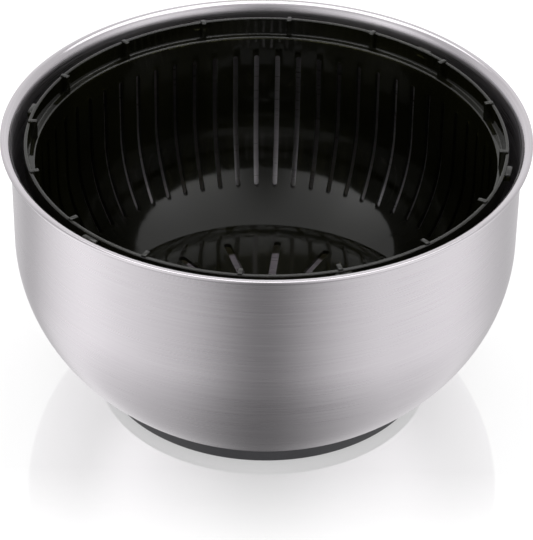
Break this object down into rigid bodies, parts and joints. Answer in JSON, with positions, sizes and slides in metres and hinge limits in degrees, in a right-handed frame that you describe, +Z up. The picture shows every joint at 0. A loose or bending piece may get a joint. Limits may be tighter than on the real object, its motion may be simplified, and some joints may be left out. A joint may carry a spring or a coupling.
{
  "type": "salad spinner",
  "caption": "Salad spinner: round steel bowl on a soft base, slotted basket turning on a central hub, and a geared lid with a side lever and a brake, laid on its back beside the bowl.",
  "frame": {"origin": "on the bowl's axis, on the surface it stands on", "axes": "+Z up along the bowl's axis, +X from the bowl to the lid lying beside it, -Y the front"},
  "size_m": [0.5935, 0.265, 0.1433],
  "materials": {
    "sheet_steel": "stainless sheet, satin brushed round the bowl, with a polished lip",
    "black_plastic": "moulded black, satin gloss",
    "smoke_plastic": "see-through smoke, moulded",
    "dark_rubber": "matt moulded soft plastic",
    "grey_plastic": "fine spark-eroded moulded grey",
    "acetal": "natural moulded acetal",
    "spring_steel": "drawn and turned bright steel"
  },
  "bodies": {
    "bowl": {"bowl": "sheet_steel", "base_pad": "dark_rubber"},
    "hub": {"pivot_hub": "acetal"},
    "basket": {"basket": "smoke_plastic"},
    "lid": {"lid_shell": "black_plastic", "lid_seal": "dark_rubber", "lever_bush": "acetal", "lever_spring": "spring_steel", "idler_axle": "spring_steel", "shaft_bush_upper": "acetal", "shaft_bush_lower": "acetal", "gearbox_cover": "grey_plastic", "cover_screw_1": "spring_steel", "cover_screw_2": "spring_steel", "cover_screw_3": "spring_steel", "cover_screw_4": "spring_steel", "brake_spring": "spring_steel"},
    "lever": {"lever": "grey_plastic", "lever_grip": "dark_rubber", "gear_segment": "acetal", "segment_screw": "spring_steel"},
    "idler": {"idler_gear": "acetal"},
    "carrier": {"drive_pinion": "acetal", "carrier_disc": "smoke_plastic", "carrier_screw": "spring_steel"},
    "brake": {"brake_button": "grey_plastic", "brake_pad": "dark_rubber"},
    "lock": {"lock_slider": "grey_plastic"}
  },
  "joints": [
    {"name": "basket_spin", "type": "hinge", "parent": "bowl", "child": "hub", "pos_m": [0, 0, 0.03], "axis": [0, 0, 1], "continuous": true},
    {"name": "basket_lift", "type": "slide", "parent": "hub", "child": "basket", "axis": [0, 0, -1], "range_m": [-0.13, 0]},
    {"name": "lid_turn", "type": "hinge", "parent": "bowl", "child": "lid", "pos_m": [0.165, 0, 0.0875], "axis": [0, -1, 0], "range_deg": [0, 180]},
    {"name": "lever_swing", "type": "hinge", "parent": "lid", "child": "lever", "pos_m": [0.39, 0, 0.006], "axis": [0, 0, -1], "range_deg": [0, 60], "stiffness_Nm_per_rad": 0.25, "springref_deg": -17.19},
    {"name": "idler_turn", "type": "hinge", "parent": "lid", "child": "idler", "pos_m": [0.3516, 0.0288, 0.015], "axis": [0, 0, -1], "range_deg": [-180, 0]},
    {"name": "carrier_turn", "type": "hinge", "parent": "lid", "child": "carrier", "pos_m": [0.33, 0, 0.03], "axis": [0, 0, -1], "continuous": true},
    {"name": "brake_press", "type": "slide", "parent": "lid", "child": "brake", "axis": [0, 0, 1], "range_m": [0, 0.0028], "stiffness_N_per_m": 400, "springref_m": -0.003, "deforming": ["brake_spring"]},
    {"name": "lock_slide", "type": "slide", "parent": "lid", "child": "lock", "axis": [0.9157, 0.4019, 0], "range_m": [0, 0.009]}
  ],
  "couplings": [
    {"joint": "idler_turn", "follows": "lever_swing", "ratio": -3},
    {"joint": "carrier_turn", "follows": "lever_swing", "ratio": 6}
  ]
}
